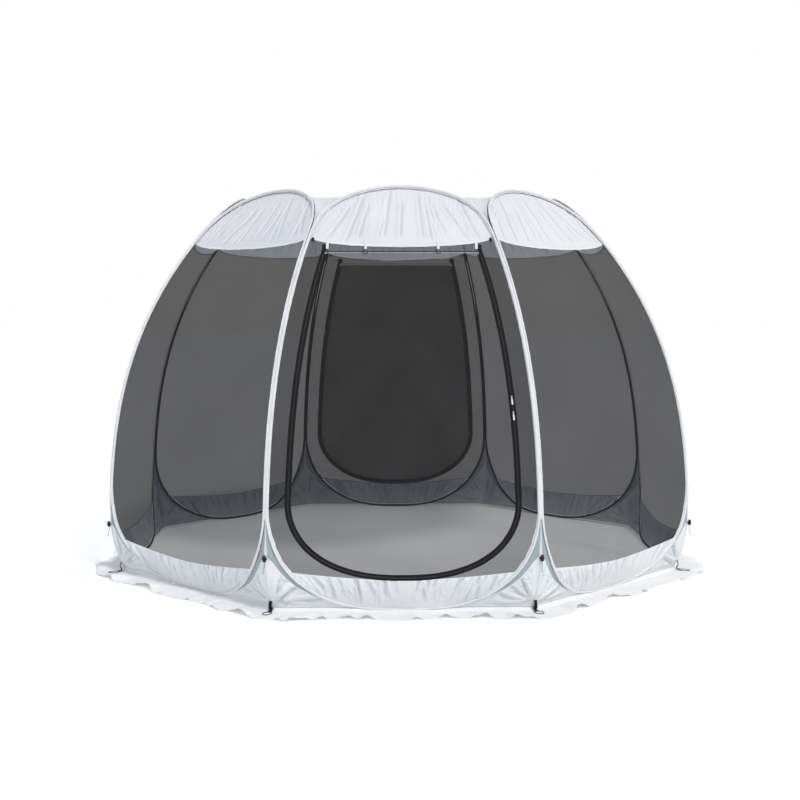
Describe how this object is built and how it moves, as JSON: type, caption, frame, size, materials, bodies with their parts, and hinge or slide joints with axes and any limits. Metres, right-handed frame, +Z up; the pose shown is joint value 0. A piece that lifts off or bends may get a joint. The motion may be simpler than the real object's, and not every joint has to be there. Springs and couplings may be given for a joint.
{
  "type": "pop-up screen house",
  "caption": "Pop-up octagonal screen house with spring hoops, netting walls, a cloth roof, zipped doors front and rear, and a ground skirt.",
  "frame": {"origin": "middle of the footprint, on the ground", "axes": "+Z up, front door faces -Y, right-hand side of the front at +X"},
  "size_m": [3.738, 3.738, 2.2992],
  "materials": {
    "spring_steel": "drawn spring wire",
    "netting": "open polyester netting",
    "roof_cloth": "silver-coated polyester",
    "cap_cloth": "silver-coated polyester",
    "skirt_cloth": "coated polyester",
    "door_netting": "open polyester netting",
    "zip_tape": "woven tape with a coil",
    "black_plastic": "moulded",
    "white_webbing": "woven webbing"
  },
  "bodies": {
    "screen_house": {"front_hoop": "spring_steel", "front_wall": "netting", "front_roof_lobe": "roof_cloth", "front_right_hoop": "spring_steel", "front_right_wall": "netting", "front_right_roof_lobe": "roof_cloth", "right_hoop": "spring_steel", "right_wall": "netting", "right_roof_lobe": "roof_cloth", "rear_right_hoop": "spring_steel", "rear_right_wall": "netting", "rear_right_roof_lobe": "roof_cloth", "rear_hoop": "spring_steel", "rear_wall": "netting", "rear_roof_lobe": "roof_cloth", "rear_left_hoop": "spring_steel", "rear_left_wall": "netting", "rear_left_roof_lobe": "roof_cloth", "left_hoop": "spring_steel", "left_wall": "netting", "left_roof_lobe": "roof_cloth", "front_left_hoop": "spring_steel", "front_left_wall": "netting", "front_left_roof_lobe": "roof_cloth", "front_gusset_right": "roof_cloth", "right_gusset_front": "roof_cloth", "right_gusset_rear": "roof_cloth", "rear_gusset_right": "roof_cloth", "rear_gusset_left": "roof_cloth", "left_gusset_rear": "roof_cloth", "left_gusset_front": "roof_cloth", "front_gusset_left": "roof_cloth", "roof_cap": "cap_cloth", "ground_skirt": "skirt_cloth", "front_door_zip": "zip_tape", "rear_door_zip": "zip_tape"},
    "front_door": {"front_door": "door_netting"},
    "front_zip_slider_upper": {"front_zip_slider_upper": "black_plastic"},
    "front_zip_pull_upper": {"front_zip_pull_upper": "white_webbing"},
    "front_zip_slider_lower": {"front_zip_slider_lower": "black_plastic"},
    "front_zip_pull_lower": {"front_zip_pull_lower": "white_webbing"},
    "rear_door": {"rear_door": "door_netting"},
    "rear_zip_slider_upper": {"rear_zip_slider_upper": "black_plastic"},
    "rear_zip_pull_upper": {"rear_zip_pull_upper": "white_webbing"},
    "rear_zip_slider_lower": {"rear_zip_slider_lower": "black_plastic"},
    "rear_zip_pull_lower": {"rear_zip_pull_lower": "white_webbing"},
    "door_tie_1": {"door_tie_1": "white_webbing"},
    "door_tie_2": {"door_tie_2": "white_webbing"},
    "door_tie_3": {"door_tie_3": "white_webbing"},
    "door_tie_4": {"door_tie_4": "white_webbing"},
    "front_peg_loop_right": {"front_peg_loop_right": "black_plastic"},
    "right_peg_loop_front": {"right_peg_loop_front": "black_plastic"},
    "right_peg_loop_rear": {"right_peg_loop_rear": "black_plastic"},
    "rear_peg_loop_right": {"rear_peg_loop_right": "black_plastic"},
    "rear_peg_loop_left": {"rear_peg_loop_left": "black_plastic"},
    "left_peg_loop_rear": {"left_peg_loop_rear": "black_plastic"},
    "left_peg_loop_front": {"left_peg_loop_front": "black_plastic"},
    "front_peg_loop_left": {"front_peg_loop_left": "black_plastic"},
    "lantern_loop": {"lantern_loop": "white_webbing"}
  },
  "joints": [
    {"name": "front_door_hinge", "type": "hinge", "parent": "screen_house", "child": "front_door", "pos_m": [0, -1.30836, 1.9085], "axis": [-1, 0, 0], "range_deg": [0, 100]},
    {"name": "front_zip_slider_upper_run", "type": "hinge", "parent": "screen_house", "child": "front_zip_slider_upper", "pos_m": [-0.24745, 0.31976, 0.57006], "axis": [-0.9239, -0.3827, 0], "range_deg": [0, 10.05]},
    {"name": "front_zip_pull_upper_hinge", "type": "hinge", "parent": "front_zip_slider_upper", "child": "front_zip_pull_upper", "pos_m": [0.57081, -1.66792, 1.1438], "axis": [-0.9952, -0.0234, -0.0955], "range_deg": [0, 150]},
    {"name": "front_zip_slider_lower_run", "type": "hinge", "parent": "screen_house", "child": "front_zip_slider_lower", "pos_m": [-0.48279, 0.88797, 0.42677], "axis": [0.9239, 0.3827, 0], "range_deg": [0, 6.84]},
    {"name": "front_zip_pull_lower_hinge", "type": "hinge", "parent": "front_zip_slider_lower", "child": "front_zip_pull_lower", "pos_m": [0.57846, -1.68648, 1.06346], "axis": [-0.9963, -0.0178, -0.0838], "range_deg": [0, 150]},
    {"name": "rear_door_hinge", "type": "hinge", "parent": "screen_house", "child": "rear_door", "pos_m": [0, 1.30836, 1.9085], "axis": [1, 0, 0], "range_deg": [0, 100]},
    {"name": "rear_zip_slider_upper_run", "type": "hinge", "parent": "screen_house", "child": "rear_zip_slider_upper", "pos_m": [0.24745, -0.31976, 0.57006], "axis": [0.9239, 0.3827, 0], "range_deg": [0, 10.05]},
    {"name": "rear_zip_pull_upper_hinge", "type": "hinge", "parent": "rear_zip_slider_upper", "child": "rear_zip_pull_upper", "pos_m": [-0.57081, 1.66792, 1.1438], "axis": [0.9952, 0.0234, -0.0955], "range_deg": [0, 150]},
    {"name": "rear_zip_slider_lower_run", "type": "hinge", "parent": "screen_house", "child": "rear_zip_slider_lower", "pos_m": [0.48279, -0.88797, 0.42677], "axis": [-0.9239, -0.3827, 0], "range_deg": [0, 6.84]},
    {"name": "rear_zip_pull_lower_hinge", "type": "hinge", "parent": "rear_zip_slider_lower", "child": "rear_zip_pull_lower", "pos_m": [-0.57846, 1.68648, 1.06346], "axis": [0.9963, 0.0178, -0.0838], "range_deg": [0, 150]},
    {"name": "door_tie_1_swing", "type": "hinge", "parent": "screen_house", "child": "door_tie_1", "pos_m": [-0.41, -1.27017, 1.97127], "axis": [-1, 0, 0], "range_deg": [0, 100]},
    {"name": "door_tie_2_swing", "type": "hinge", "parent": "screen_house", "child": "door_tie_2", "pos_m": [-0.2, -1.27017, 1.97127], "axis": [-1, 0, 0], "range_deg": [0, 100]},
    {"name": "door_tie_3_swing", "type": "hinge", "parent": "screen_house", "child": "door_tie_3", "pos_m": [0.2, -1.27017, 1.97127], "axis": [-1, 0, 0], "range_deg": [0, 100]},
    {"name": "door_tie_4_swing", "type": "hinge", "parent": "screen_house", "child": "door_tie_4", "pos_m": [0.41, -1.27017, 1.97127], "axis": [-1, 0, 0], "range_deg": [0, 100]},
    {"name": "front_peg_loop_right_hinge", "type": "hinge", "parent": "screen_house", "child": "front_peg_loop_right", "pos_m": [0.7083, -1.71, 0.0038], "axis": [-0.9239, -0.3827, 0], "range_deg": [0, 90]},
    {"name": "right_peg_loop_front_hinge", "type": "hinge", "parent": "screen_house", "child": "right_peg_loop_front", "pos_m": [1.71, -0.7083, 0.0038], "axis": [-0.3827, -0.9239, 0], "range_deg": [0, 90]},
    {"name": "right_peg_loop_rear_hinge", "type": "hinge", "parent": "screen_house", "child": "right_peg_loop_rear", "pos_m": [1.71, 0.7083, 0.0038], "axis": [0.3827, -0.9239, 0], "range_deg": [0, 90]},
    {"name": "rear_peg_loop_right_hinge", "type": "hinge", "parent": "screen_house", "child": "rear_peg_loop_right", "pos_m": [0.7083, 1.71, 0.0038], "axis": [0.9239, -0.3827, 0], "range_deg": [0, 90]},
    {"name": "rear_peg_loop_left_hinge", "type": "hinge", "parent": "screen_house", "child": "rear_peg_loop_left", "pos_m": [-0.7083, 1.71, 0.0038], "axis": [0.9239, 0.3827, 0], "range_deg": [0, 90]},
    {"name": "left_peg_loop_rear_hinge", "type": "hinge", "parent": "screen_house", "child": "left_peg_loop_rear", "pos_m": [-1.71, 0.7083, 0.0038], "axis": [0.3827, 0.9239, 0], "range_deg": [0, 90]},
    {"name": "left_peg_loop_front_hinge", "type": "hinge", "parent": "screen_house", "child": "left_peg_loop_front", "pos_m": [-1.71, -0.7083, 0.0038], "axis": [-0.3827, 0.9239, 0], "range_deg": [0, 90]},
    {"name": "front_peg_loop_left_hinge", "type": "hinge", "parent": "screen_house", "child": "front_peg_loop_left", "pos_m": [-0.7083, -1.71, 0.0038], "axis": [-0.9239, 0.3827, 0], "range_deg": [0, 90]},
    {"name": "lantern_loop_swing", "type": "hinge", "parent": "screen_house", "child": "lantern_loop", "pos_m": [0, 0, 2.026], "axis": [1, 0, 0], "range_deg": [-60, 60]}
  ]
}
